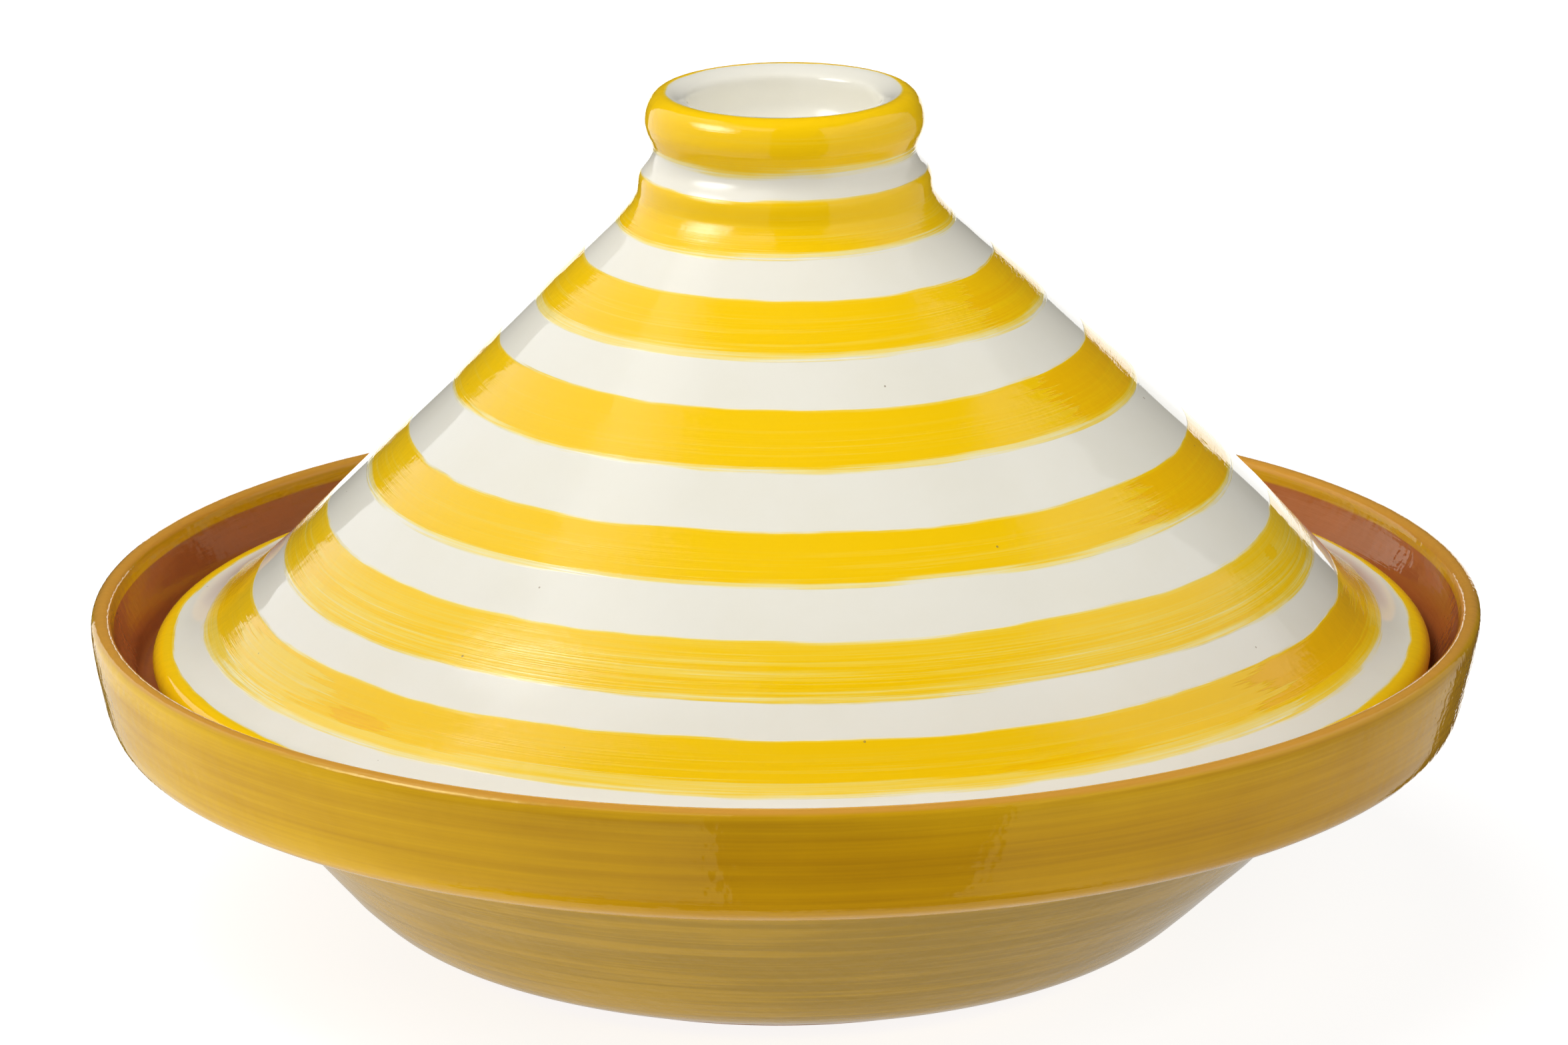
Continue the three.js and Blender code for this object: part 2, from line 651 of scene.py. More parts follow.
def bake_nodes(source: bpy.types.Object, tree: NodeTree, values: dict[str, object],
               name: str) -> bpy.types.Object:
    """Run a Geometry Nodes tree on an object and keep the result as a plain mesh.

    Args:
        source: The object that the tree reads; it is removed.
        tree: The tree.
        values: Values for its named inputs.
        name: The new object's name.

    Returns:
        The finished object, at the origin.
    """
    sockets = {item.name: item.identifier for item in tree.interface.items_tree
               if item.in_out == "INPUT"}
    modifier = source.modifiers.new(tree.name, "NODES")
    modifier.node_group = tree
    for label, value in values.items():
        modifier[sockets[label]] = value
    graph = bpy.context.evaluated_depsgraph_get()
    mesh = bpy.data.meshes.new_from_object(source.evaluated_get(graph))
    mesh.name = name
    bpy.data.objects.remove(source)
    piece = bpy.data.objects.new(name, mesh)
    bpy.context.scene.collection.objects.link(piece)
    return piece


# ------------------------------------------------------------------ shared shader groups


class SurfaceGroup(ABC):
    """A node group of surface values, built once and placed wherever it is wanted.

    A subclass names its sockets and adds its own nodes. The input "Vector" is a vector, and
    all the other sockets are numbers.
    """

    NAME: str
    INPUTS: tuple[str, ...]
    OUTPUTS: tuple[str, ...]

    def place(self, graph: Graph, **inputs: object) -> Node:
        """Place the group in another tree, and build it first if it is new.

        Args:
            graph: The other tree's graph.
            **inputs: Values for its named inputs, with spaces as underscores.

        Returns:
            The group node.
        """
        tree = bpy.data.node_groups.get(self.NAME) or self._make()
        return graph.group(tree, **inputs)

    def _make(self) -> NodeTree:
        """Start the tree, fill it and link its outputs.

        Returns:
            The finished tree.
        """
        kinds = {label: "Vector" if label == "Vector" else "Float" for label in self.INPUTS}
        graph, start, end = new_group(self.NAME, kinds, dict.fromkeys(self.OUTPUTS, "Float"))
        for label, value in self._fill(graph, start.outputs).items():
            graph.feed(end.inputs[label], value)
        return graph.tree

    @abstractmethod
    def _fill(self, graph: Graph, given: Sockets) -> dict[str, Socket]:
        """Add the group's own nodes.

        Args:
            graph: The group's graph.
            given: Its inputs, by name.

        Returns:
            The value of each output.
        """


class BristleGroup(SurfaceGroup):
    """Streaks that bristles leave round a turning pot: long round it, narrow across it."""

    NAME = "bristle_streaks"
    INPUTS = ("Vector", "Run", "Length", "Width", "Seed")
    OUTPUTS = ("Streak",)

    SEED_STRIDE = 17.3  # streak widths between the places that two seeds read
    CONTRAST = (0.28, 0.72)  # noise values that give no streak and a full one

    def _fill(self, graph: Graph, given: Sockets) -> dict[str, Socket]:
        """Stretch a noise along the stroke.

        Args:
            graph: The group's graph.
            given: Its inputs, by name.

        Returns:
            The streak, from 0 to 1.
        """
        x, y, _ = graph.split(given["Vector"])
        along = graph.math("DIVIDE", 1.0, given["Length"])
        across = graph.plus(graph.math("DIVIDE", given["Run"], given["Width"]),
                            graph.times(given["Seed"], self.SEED_STRIDE))
        place = graph.vector(graph.times(x, along), graph.times(y, along), across)
        streak = graph.noise(place, detail=3.0, rough=0.62)
        return {"Streak": graph.ramp(streak, *self.CONTRAST)}


class RingGroup(SurfaceGroup):
    """One brushed ring of paint: how far it covers, and how thickly it lies.

    Lengths are in metres along the profile. A pair or four numbers for an edge are two
    distances into the paint, and then its share of the full thickness at each.
    """

    NAME = "painted_ring"
    INPUTS = ("Vector", "Run", "Azimuth", "Low", "High", "Seed", "Body", "Dryness", "Wash",
              "Overlap Start", "Overlap End", "Overlap Body")
    OUTPUTS = ("Cover", "Thickness")

    BRISTLE = {"length": 0.045, "width": 0.0004, "shift": 0.0}  # streaks of single bristles
    TUFT = {"length": 0.085, "width": 0.0014, "shift": 0.4}  # streaks of tufts of bristles
    HAND = {"length": 0.05, "width": 0.05, "shift": 0.8}  # the hand's slow wander
    WANDER = 0.0012  # how far the whole ring wanders
    TOP_FRAY = 0.0004  # how far bristles fray the upper edge
    FOOT_FRAY = (0.0013, 0.0005)  # how far tufts and bristles fray the lower edge
    FOOT_SETBACK = -0.0007
    TOP_EDGE = (-0.0001, 0.0005)
    FOOT_EDGE = (-0.0001, 0.0008)
    TOP_THIN = (0.0002, 0.0012, 0.45, 1.0)
    FOOT_THIN = (0.0004, 0.0026, 0.35, 1.0)
    WASH_THIN = (-0.0005, 0.0006, 0.55, 1.0)
    TUFT_SHARE = 0.55  # of the streaks inside the ring; bristles make up the rest
    MEAN_STREAK = 0.55  # streak that leaves the thickness as it is
    LOADED = (0.22, 0.45, 0.35, 1.0)  # the same as for an edge, as shares of the ring's width
    JAG = (0.15, 0.06, -0.10)  # tufts', bristles' and constant part of an overlap's jag, radians
    OVERLAP_EDGE = (0.0, 0.02)  # in radians

    def _fill(self, graph: Graph, given: Sockets) -> dict[str, Socket]:
        """Work out the ring from its lower edge, its upper edge and its streaks.

        Args:
            graph: The group's graph.
            given: Its inputs, by name.

        Returns:
            Its cover, from 0 to 1, and its thickness, where 1 is a full coat.
        """
        fine = self._streak(graph, given, **self.BRISTLE)
        broad = self._streak(graph, given, **self.TUFT)
        hand = self._streak(graph, given, **self.HAND)
        wander = graph.scaled(hand, self.WANDER, -self.WANDER / 2)
        width = graph.minus(given["High"], given["Low"])
        rise = graph.minus(graph.minus(given["Run"], given["Low"]), wander)
        drop = graph.minus(width, rise)
        top = graph.scaled(fine, self.TOP_FRAY, drop)
        foot = graph.scaled(broad, self.FOOT_FRAY[0], graph.plus(rise, self.FOOT_SETBACK))
        foot = graph.scaled(fine, self.FOOT_FRAY[1], foot)
        cover = graph.times(graph.ramp(top, *self.TOP_EDGE), graph.ramp(foot, *self.FOOT_EDGE))
        inside = graph.times(graph.ramp(top, *self.TOP_THIN), graph.ramp(foot, *self.FOOT_THIN))
        washed = graph.minus(foot, graph.times(given["Wash"], width))
        inside = graph.times(inside, graph.ramp(washed, *self.WASH_THIN))

        blend = graph.scaled(broad, self.TUFT_SHARE, graph.times(fine, 1.0 - self.TUFT_SHARE))
        loaded = graph.ramp(graph.math("DIVIDE", drop, width), *self.LOADED)
        swing = graph.times(graph.plus(blend, -self.MEAN_STREAK),
                            graph.times(given["Dryness"], loaded))
        thick = graph.times(graph.times(inside, graph.plus(swing, 1.0)), given["Body"])

        tufts, bristles, constant = self.JAG
        jag = graph.scaled(broad, tufts, graph.scaled(fine, bristles, constant))
        turn = graph.plus(given["Azimuth"], jag)
        begun = graph.ramp(graph.minus(turn, given["Overlap Start"]), *self.OVERLAP_EDGE)
        still = graph.ramp(graph.minus(given["Overlap End"], turn), *self.OVERLAP_EDGE)
        twice = graph.times(graph.times(begun, still), inside)
        thick = graph.scaled(twice, given["Overlap Body"], thick)
        return {"Cover": cover, "Thickness": thick}

    @staticmethod
    def _streak(graph: Graph, given: Sockets, length: float, width: float, shift: float) -> Socket:
        """Streaks of one size on this ring.

        Args:
            graph: The group's graph.
            given: Its inputs, by name.
            length: Length of the streaks.
            width: Their width.
            shift: What is added to the ring's seed.

        Returns:
            The streak, from 0 to 1.
        """
        seed = graph.plus(given["Seed"], shift)
        return BristleGroup().place(graph, Vector=given["Vector"], Run=given["Run"], Length=length,
                                    Width=width, Seed=seed).outputs[0]


class DropGroup(SurfaceGroup):
    """A drop of thicker paint dragged out along the stroke."""

    NAME = "paint_drop"
    INPUTS = ("Vector", "Run", "Azimuth", "At Run", "At Azimuth", "Half Height", "Half Turn")
    OUTPUTS = ("Mask",)

    RAGGED = (1.1, 0.45)  # part of the drop's reach that the streaks change, and the fixed part
    SOFT = (0.0, 0.25)

    def _fill(self, graph: Graph, given: Sockets) -> dict[str, Socket]:
        """Measure how far a point is from the drop, and tear its edge with streaks.

        Args:
            graph: The group's graph.
            given: Its inputs, by name.

        Returns:
            The mask, 1 inside the drop.
        """
        streak = BristleGroup().place(graph, Vector=given["Vector"], Run=given["Run"], Length=0.06,
                                      Width=0.0009, Seed=9.0).outputs[0]
        up = graph.math("DIVIDE", graph.minus(given["Run"], given["At Run"]), given["Half Height"])
        along = graph.math("DIVIDE", graph.minus(given["Azimuth"], given["At Azimuth"]),
                           given["Half Turn"])
        away = graph.scaled(up, up, graph.times(along, along))
        edge = graph.minus(graph.scaled(streak, *self.RAGGED), away)
        return {"Mask": graph.ramp(edge, *self.SOFT)}


class SkinGroup(SurfaceGroup):
    """Height of a glaze's surface, in millimetres: brush ridges, a slow ripple, fine puckers."""

    NAME = "glaze_skin"
    INPUTS = ("Vector", "Run", "Ridges", "Ripple", "Pucker", "Seed")
    OUTPUTS = ("Height",)

    def _fill(self, graph: Graph, given: Sockets) -> dict[str, Socket]:
        """Add up the three reliefs.

        Args:
            graph: The group's graph.
            given: Its inputs, by name; each relief's own input is its depth.

        Returns:
            The height.
        """
        ridges = BristleGroup().place(graph, Vector=given["Vector"], Run=given["Run"],
                                      Length=0.022, Width=0.0013, Seed=given["Seed"]).outputs[0]
        ripple = graph.noise(given["Vector"], detail=1.0, rough=0.4, scale=70.0)
        pucker = graph.noise(given["Vector"], detail=1.5, rough=0.5, scale=330.0)
        height = graph.times(ridges, given["Ridges"])
        height = graph.scaled(ripple, given["Ripple"], height)
        return {"Height": graph.scaled(pucker, given["Pucker"], height)}


class SpeckGroup(SurfaceGroup):
    """Sparse specks, such as iron in a white glaze."""

    NAME = "sparse_specks"
    INPUTS = ("Vector", "Density", "Size")
    OUTPUTS = ("Mask",)

    SPREAD = (0.8, 0.4)  # part of a speck's size that varies, and the fixed part
    BARE_CELLS = 0.8  # share of the cells that hold no speck

    def _fill(self, graph: Graph, given: Sockets) -> dict[str, Socket]:
        """Put a dot in the middle of a few cells.

        Args:
            graph: The group's graph.
            given: Its inputs, by name.

        Returns:
            The mask, 1 on a speck.
        """
        cells = graph.add("ShaderNodeTexVoronoi", feature="F1")
        graph.feed(cells.inputs["Vector"], given["Vector"])
        graph.feed(cells.inputs["Scale"], given["Density"])
        pick, size, _ = graph.split(cells.outputs["Color"])
        reach = graph.times(given["Size"], graph.scaled(size, *self.SPREAD))
        dot = graph.math("LESS_THAN", cells.outputs["Distance"], reach)
        return {"Mask": graph.times(dot, graph.math("GREATER_THAN", pick, self.BARE_CELLS))}


# ------------------------------------------------------------------ finishes


@dataclass(frozen=True)
class Surface:
    """Where a point of a piece's surface lies.

    Attributes:
        place: Its object coordinates.
        run: Its distance along the profile, in metres.
        azimuth: Its angle from the front, in radians.
    """

    place: Socket
    run: Socket
    azimuth: Socket

    @classmethod
    def of(cls, graph: Graph) -> "Surface":
        """Read the surface in a material.

        Args:
            graph: The material's graph.

        Returns:
            The surface.
        """
        place = graph.add("ShaderNodeTexCoord").outputs["Object"]
        run = graph.add("ShaderNodeAttribute", attribute_name=RUN).outputs["Fac"]
        x, y, _ = graph.split(place)
        return cls(place, run, graph.math("ARCTAN2", x, graph.times(y, -1.0)))


def new_material(name: str, preview: Colour) -> tuple[bpy.types.Material, Graph, Node]:
    """Start a material.

    Args:
        name: Its name.
        preview: The plain colour that the viewport shows.

    Returns:
        The material, its graph and its Principled shader.
    """
    material = bpy.data.materials.new(name)
    material.use_nodes = True
    material.diffuse_color = (*preview, 1.0)
    graph = Graph(material.node_tree)
    return material, graph, material.node_tree.nodes["Principled BSDF"]


def glaze_over(graph: Graph, shader: Node, colour: Socket, roughness: object, height: Socket) -> None:
    """Dress a shader as a glaze.

    Args:
        graph: The material's graph.
        shader: Its Principled shader.
        colour: The glaze's colour.
        roughness: Its roughness.
        height: Height of its surface, in millimetres.
    """
    graph.feed(shader.inputs["Base Color"], colour)
    graph.feed(shader.inputs["Roughness"], roughness)
    shader.inputs["IOR"].default_value = GLAZE_IOR
    bump = graph.add("ShaderNodeBump")
    bump.inputs["Strength"].default_value = 1.0
    bump.inputs["Distance"].default_value = MM
    graph.feed(bump.inputs["Height"], height)
    graph.feed(shader.inputs["Normal"], bump.outputs[0])


def dimmed(colour: Colour, share: float) -> Colour:
    """A darker shade of a colour."""
    return tuple(value * share for value in colour)


@dataclass(frozen=True)
class PaintedRing:
    """One brushed ring of yellow on the lid.

    Attributes:
        low: Place of its lower edge, as (radius, height) in millimetres.
        high: Place of its upper edge.
        body: How thickly the paint lies.
        dryness: How much the streaks of the bristles show.
        wash: Share of its width, at the bottom, where the paint ran thin.
        overlap: Azimuths between which the stroke lies double, in degrees from the front.
        overlap_body: How much thicker the paint is there.
    """

    low: Pair
    high: Pair
    body: float
    dryness: float
    wash: float
    overlap: Pair
    overlap_body: float


@dataclass(frozen=True)
class PaintDrop:
    """A thicker drop in a painted ring.

    Attributes:
        place: Where it lies, as (radius, height) in millimetres.
        azimuth: Degrees from the front.
        half_height: Half its height along the profile, in millimetres.
        half_turn: Half its length, in degrees.
        amount: How much thicker the paint is there, or thinner if negative.
    """

    place: Pair
    azimuth: float
    half_height: float
    half_turn: float
    amount: float


@dataclass(frozen=True)
class StripedGlaze:
    """Clear glaze over a warm white ground, brushed with yellow rings; red clay inside.

    Attributes:
        outline: The lid's whole outline, which the rings' places are found on.
        rings: The painted rings.
        drops: The drops in them.
        clay_below: Where the red clay inside ends, as (radius, height).
        ground: The white ground.
        cloud: The ground where it is a little denser.
        thin: The paint where it lies thinnest.
        medium: The paint where it lies thin.
        full: The paint where it lies fully.
        heavy: The paint where it lies thickest.
        clay: The clear-glazed red clay inside.
        speck: The iron specks.
        roughness: Of the glaze.
    """

    outline: Outline
    rings: tuple[PaintedRing, ...]
    drops: tuple[PaintDrop, ...]
    clay_below: Pair
    ground: Colour = (0.875, 0.845, 0.74)
    cloud: Colour = (0.875 * 0.985, 0.845 * 0.98, 0.74 * 0.96)
    thin: Colour = (0.93, 0.81, 0.36)
    medium: Colour = (0.965, 0.68, 0.065)
    full: Colour = (0.98, 0.61, 0.003)
    heavy: Colour = (0.95, 0.52, 0.001)
    clay: Colour = (0.40, 0.13, 0.045)
    speck: Colour = (0.25, 0.17, 0.07)
    roughness: float = 0.04

    SPECK_STRENGTH = 0.6
    CLAY_EDGE = 0.0012  # how softly the white ground begins, in metres
    PAINT_PUCKER = 0.08  # depth of the pucker where there is paint, in millimetres
    PAINT_RELIEF = 0.045  # how far a full coat of paint stands up, in millimetres
    TO_MEDIUM = (0.05, 0.60)  # thicknesses between which one colour goes over to the next
    TO_FULL = (0.50, 1.0)
    TO_HEAVY = (1.05, 1.6)

    def material(self, name: str) -> bpy.types.Material:
        """Build the material.

        Args:
            name: Its name.

        Returns:
            The material.
        """
        material, graph, shader = new_material(name, self.ground)
        at = Surface.of(graph)
        cover, thickness = self._coat(graph, at)
        clouds = graph.ramp(graph.noise(at.place, detail=3.0, rough=0.6, scale=45.0), 0.3, 0.75)
        colour = graph.mix(clouds, self.ground, self.cloud)
        colour = graph.mix(cover, colour, self._paint(graph, thickness))
        specks = SpeckGroup().place(graph, Vector=at.place, Density=170.0, Size=0.05).outputs[0]
        colour = graph.mix(graph.times(specks, self.SPECK_STRENGTH), colour, self.speck)
        end = self.outline.run_near(self.clay_below)
        clay = graph.ramp(at.run, end, end + self.CLAY_EDGE, 1.0, 0.0)
        colour = graph.mix(clay, colour, self.clay)
        skin = SkinGroup().place(graph, Vector=at.place, Run=at.run, Ridges=0.004, Ripple=0.03,
                                 Pucker=graph.times(cover, self.PAINT_PUCKER), Seed=3.0).outputs[0]
        height = graph.scaled(graph.times(cover, thickness), self.PAINT_RELIEF, skin)
        glaze_over(graph, shader, colour, self.roughness, height)
        return material

    def _coat(self, graph: Graph, at: Surface) -> tuple[Socket, Socket]:
        """Lay all the paint.

        Args:
            graph: The material's graph.
            at: The surface.

        Returns:
            How far the paint covers the ground, and how thickly it lies.
        """
        cover = 0.0
        thickness = 0.0
        for number, ring in enumerate(self.rings):
            start, end = (math.radians(turn) for turn in ring.overlap)
            node = RingGroup().place(
                graph, Vector=at.place, Run=at.run, Azimuth=at.azimuth,
                Low=self.outline.run_near(ring.low), High=self.outline.run_near(ring.high),
                Seed=float(number + 1), Body=ring.body, Dryness=ring.dryness, Wash=ring.wash,
                Overlap_Start=start, Overlap_End=end, Overlap_Body=ring.overlap_body)
            cover = graph.math("MAXIMUM", cover, node.outputs["Cover"])
            here = graph.times(node.outputs["Cover"], node.outputs["Thickness"])
            thickness = graph.math("MAXIMUM", thickness, here)
        for drop in self.drops:
            mask = DropGroup().place(
                graph, Vector=at.place, Run=at.run, Azimuth=at.azimuth,
                At_Run=self.outline.run_near(drop.place), At_Azimuth=math.radians(drop.azimuth),
                Half_Height=drop.half_height * MM, Half_Turn=math.radians(drop.half_turn)).outputs[0]
            thickness = graph.scaled(mask, drop.amount, thickness)
        return cover, thickness

    def _paint(self, graph: Graph, thickness: Socket) -> Socket:
        """Colour the paint.

        Args:
            graph: The material's graph.
            thickness: How thickly the paint lies.

        Returns:
            Its colour.
        """
        colour = graph.mix(graph.ramp(thickness, *self.TO_MEDIUM), self.thin, self.medium)
        colour = graph.mix(graph.ramp(thickness, *self.TO_FULL), colour, self.full)
        return graph.mix(graph.ramp(thickness, *self.TO_HEAVY), colour, self.heavy)


@dataclass(frozen=True)
class Brushwork:
    """How the ochre glaze was brushed on, with painted light on the collar's left side.

    Attributes:
        run: Distance along the profile, with a streaky waver.
        broad: Streaks of tufts of bristles.
        fine: Streaks of single bristles.
        thin: Painted light: where the collar is painted lighter, from the front round to the left, on the
            side that the light falls on.
        cloud: Slow clouding.
    """

    run: Socket
    broad: Socket
    fine: Socket
    thin: Socket
    cloud: Socket


@dataclass(frozen=True)
class OchreGlaze:
    """Ochre glaze brushed over terracotta, thin and orange on the lip, clear inside.

    Attributes:
        foot: Run where the bare foot ends, in metres.
        step: Run of the collar's lower edge.
        lip: Run where the lip's orange begins.
        crest: Run where the lip's orange ends.
        bevel: Run where the ochre inside the lip ends.
        gold: The collar's glaze.
        lemon: The collar's glaze painted lighter: painted light from the front round to the left, and
            lighter just below the lip.
        olive: The collar's glaze where it is deep.
        khaki: The bowl's glaze.
        orange: The lip, where the clay shows through.
        inside: The clear-glazed clay inside.
        bare: The unglazed foot.
        sheen: Tint of the reflections.
        roughness: Of the glaze.
    """

    foot: float
    step: float
    lip: float
    crest: float
    bevel: float
    gold: Colour = (0.66, 0.35, 0.005)
    lemon: Colour = (0.82, 0.50, 0.012)
    olive: Colour = (0.45, 0.215, 0.005)
    khaki: Colour = (0.47, 0.275, 0.018)
    orange: Colour = (0.66, 0.32, 0.045)
    inside: Colour = (0.43, 0.125, 0.035)
    bare: Colour = (0.34, 0.17, 0.09)
    sheen: Colour = (1.0, 0.92, 0.45)
    roughness: float = 0.045

    WAVER = 0.0012  # how far streaks push a colour's edge, in metres
    LIT_SIDE_TURN = (-1.15, 0.0)  # azimuths where the painted light on the left side is fullest and where it ends, in radians
    DEEP_KHAKI = 0.78  # brightness of the bowl's deep streaks against its khaki
    DEEP_INSIDE = 0.72  # the same for the clouds inside
    DEEP_BARE = 0.7  # and for the grains of the bare foot
    BARE_EDGE = 0.0005  # how softly one finish goes over to the next, in metres
    STEP_EDGE = 0.001
    LIP_EDGE = 0.0016
    CREST_EDGE = 0.0010
    BEVEL_EDGE = 0.0007
    BARE_ROUGHNESS = 0.7  # added where the clay is bare
    BARE_GRAIN = 0.08  # depth of the bare clay's grain, in millimetres
    GLOW = 0.009  # how far below the lip the collar brightens, in metres
    PEBBLE_DEPTH = -0.05  # in millimetres, for each cell's width
    PEBBLES_FROM, PEBBLES_FULL, PEBBLES_TO = 0.0075, 0.003, 0.001  # below the lip, in metres

    def material(self, name: str) -> bpy.types.Material:
        """Build the material.

        Args:
            name: Its name.

        Returns:
            The material.
        """
        material, graph, shader = new_material(name, self.gold)
        at = Surface.of(graph)
        brush = self._brushwork(graph, at)
        grog = graph.ramp(graph.noise(at.place, detail=4.0, rough=0.7, scale=900.0), 0.35, 0.7)
        bare = graph.ramp(brush.run, self.foot, self.foot + self.BARE_EDGE, 1.0, 0.0)
        raw = graph.mix(grog, self.bare, dimmed(self.bare, self.DEEP_BARE))
        colour = graph.mix(bare, self._coat(graph, brush), raw)
        roughness = graph.scaled(bare, self.BARE_ROUGHNESS, self.roughness)
        shader.inputs["Specular Tint"].default_value = (*self.sheen, 1.0)
        skin = SkinGroup().place(graph, Vector=at.place, Run=at.run, Ridges=0.022, Ripple=0.12,
                                 Pucker=0.12, Seed=5.0).outputs[0]
        height = graph.scaled(graph.times(grog, bare), self.BARE_GRAIN, skin)
        height = graph.plus(height, self._pebbles(graph, at))
        glaze_over(graph, shader, colour, roughness, height)
        return material

    def _brushwork(self, graph: Graph, at: Surface) -> Brushwork:
        """Brush the glaze on, and paint light on the collar's left side.

        Args:
            graph: The material's graph.
            at: The surface.

        Returns:
            The brushwork.
        """
        broad, fine = (
            BristleGroup().place(graph, Vector=at.place, Run=at.run, Length=length, Width=width,
                                 Seed=seed).outputs[0]
            for length, width, seed in ((0.16, 0.0035, 1.0), (0.09, 0.0007, 2.0)))
        run = graph.plus(at.run, graph.scaled(broad, self.WAVER, -self.WAVER / 2))
        # Painted light: the collar's left side, from the front round, is painted lighter where the side
        # light falls.
        thin = graph.ramp(at.azimuth, *self.LIT_SIDE_TURN, 1.0, 0.0)
        cloud = graph.ramp(graph.noise(at.place, detail=3.0, rough=0.55, scale=22.0), 0.3, 0.7)
        return Brushwork(run, broad, fine, thin, cloud)

    def _coat(self, graph: Graph, brush: Brushwork) -> Socket:
        """Colour the glaze up the outside, over the lip and down the inside.

        Args:
            graph: The material's graph.
            brush: The brushwork.

        Returns:
            The colour.
        """
        run = brush.run
        depth = graph.scaled(brush.broad, 0.5, graph.times(brush.cloud, 0.25))
        depth = graph.scaled(brush.fine, 0.25, depth)
        # Painted light: the collar is painted lemon towards its left side and lighter just below the lip;
        # its deep streaks are lightened on the left too.
        bright = graph.math("MAXIMUM", brush.thin,
                            graph.ramp(run, self.lip - self.GLOW, self.lip, 0.0, 0.45))
        streaked = graph.mix(graph.times(brush.thin, 0.5), self.olive, self.gold)
        collar = graph.mix(depth, graph.mix(bright, self.gold, self.lemon), streaked)
        bands = graph.ramp(depth, 0.3, 0.75)
        bowl = graph.mix(bands, self.khaki, dimmed(self.khaki, self.DEEP_KHAKI))
        bevel = graph.mix(graph.times(brush.broad, 0.6), self.gold, self.olive)
        inner = graph.mix(graph.times(brush.cloud, 0.5), self.inside,
                          dimmed(self.inside, self.DEEP_INSIDE))
        over = graph.ramp(run, self.step - self.STEP_EDGE, self.step + self.STEP_EDGE)
        colour = graph.mix(over, bowl, collar)
        for start, edge, above in ((self.lip, self.LIP_EDGE, self.orange),
                                   (self.crest, self.CREST_EDGE, bevel),
                                   (self.bevel, self.BEVEL_EDGE, inner)):
            colour = graph.mix(graph.ramp(run, start, start + edge), colour, above)
        return colour

    def _pebbles(self, graph: Graph, at: Surface) -> Socket:
        """Bubble the glaze just under the lip, in patches.

        Args:
            graph: The material's graph.
            at: The surface.

        Returns:
            The bubbles' height, in millimetres.
        """
        cells = graph.add("ShaderNodeTexVoronoi", feature="SMOOTH_F1")
        graph.feed(cells.inputs["Vector"], at.place)
        cells.inputs["Scale"].default_value = 900.0
        begun = graph.ramp(at.run, self.lip - self.PEBBLES_FROM, self.lip - self.PEBBLES_FULL)
        still = graph.ramp(at.run, self.lip - self.PEBBLES_TO, self.lip, 1.0, 0.0)
        patch = graph.ramp(graph.noise(at.place, detail=2.0, rough=0.5, scale=30.0), 0.4, 0.6)
        dents = graph.times(cells.outputs["Distance"], self.PEBBLE_DEPTH)
        return graph.times(dents, graph.times(graph.times(begun, still), patch))


# ------------------------------------------------------------------ the pot


@dataclass
class Dish:
    """The dish: standing ring, spreading bowl, undercut step, leaning collar and lid seat.

    Attributes:
        foot_radius: Outer edge of the standing ring, in millimetres.
        ring_width: Width of the ring.
        recess: Depth of the hollow inside the ring.
        lip_radius: Radius of the lip's crest.
        lip_round: Rounding of the lip.
        crest: Height of the crest.
        seat: Height of the ledge that the lid stands on.
        rings: Rings of vertices up the outline.
    """

    foot_radius: float = 75.0
    ring_width: float = 9.0
    recess: float = 2.5
    lip_radius: float = 157.6
    lip_round: float = 2.4
    crest: float = 79.2
    seat: float = 62.6
    rings: int = 205

    LEAN = [(0, -1.6), (15, -1.2), (28, 0.2), (45, 0.6), (60, 0.2), (80, 0.4)]

    def outline(self) -> Outline:
        """Draw the outline, from under the floor, up the outside, and down to the inside.

        Returns:
            The outline.
        """
        inner_foot = self.foot_radius - self.ring_width
        lip = (self.lip_radius, self.crest - self.lip_round)
        foot = [(0, self.recess), (30, self.recess), (55, self.recess), (inner_foot - 3, self.recess - 0.1),
                (inner_foot - 0.6, 0.5), (inner_foot + 0.6, 0.0), (70, 0), (self.foot_radius - 1.0, 0.0),
                (self.foot_radius - 0.1, 0.5), (76.6, 1.5)]
        bowl = [(82.1, 3.2), (92.8, 7.8), (100.3, 14.0), (106.4, 20.3), (118.5, 32.9), (130.2, 45.5),
                (135.2, 50.6), (136.4, 51.6), (138.0, 51.3), (142.5, 50.9)]
        collar = [(147.4, 50.6), (151.3, 51.9), (154.8, 54.3), (156.7, 58.2), (157.8, 62.9),
                  (158.8, 67.6), (159.6, 72.3), *arc(lip, self.lip_round, 0, 180, 7)]
        inside = [(154.6, 74.6), (153.1, 71.0), (150.8, 66.6), (149.4, 63.8), (148.2, 62.8),
                  (145.0, self.seat), (140.0, self.seat), (138.4, 62.4), (136.9, 61.4), (127.2, 51.3),
                  (112.0, 35.4), (97.5, 20.3), (90.5, 14.4), (80.0, 10.6), (66.0, 9.0), (40.0, 8.9),
                  (20.0, 8.9), (0, 8.9)]
        return Outline.drawn([*foot, *bowl, *collar, *inside], softness=0.5)

    def make(self) -> list[bpy.types.Object]:
        """Throw and glaze the dish.

        Returns:
            The dish, alone in a list.
        """
        outline = self.outline()
        glaze = OchreGlaze(
            foot=outline.run_near((81.0, 2.9)), step=outline.run_near((149.0, 51.0)),
            lip=outline.run_near((159.9, 77.6)), crest=outline.run_near((155.9, 78.4)),
            bevel=outline.run_near((155.0, 75.8)))
        wheel = Wheel(ovality=0.0004, tilt=0.009, ring_depth=0.00035, ring_pitch=120.0)
        line = outline.mesh("dish_line", self.rings, self.LEAN)
        dish = wheel.throw("dish_thrown", line, glaze.material("ochre_glaze"), seed=2.0)
        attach(dish, Body.DISH.value)
        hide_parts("dish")
        return [dish]


